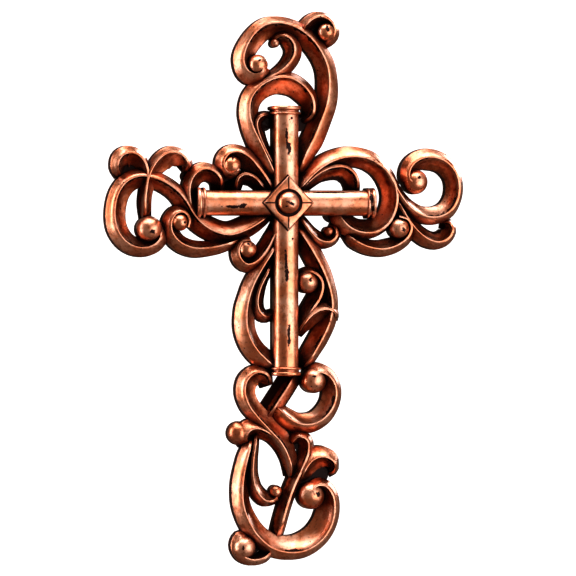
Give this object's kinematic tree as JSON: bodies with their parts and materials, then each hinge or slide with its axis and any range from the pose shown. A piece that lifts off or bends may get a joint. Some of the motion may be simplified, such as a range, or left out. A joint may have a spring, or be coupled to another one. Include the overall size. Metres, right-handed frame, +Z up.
{
  "type": "resin wall cross",
  "caption": "Openwork scroll cross cast in one piece, copper coloured with worn black, with a round bar cross, collared ends and a diamond boss with a ball.",
  "frame": {"origin": "on the pad of the flat back, behind the centre of the boss at the crossing", "axes": "+Z up along the upright, +Y into the wall, +X to the right as seen from the front"},
  "size_m": [0.2089, 0.0262, 0.3179],
  "materials": {
    "copper_resin": "metallic copper paint with black worn into it, satin to glossy"
  },
  "bodies": {
    "root": {"cast_cross": "copper_resin"}
  },
  "joints": []
}
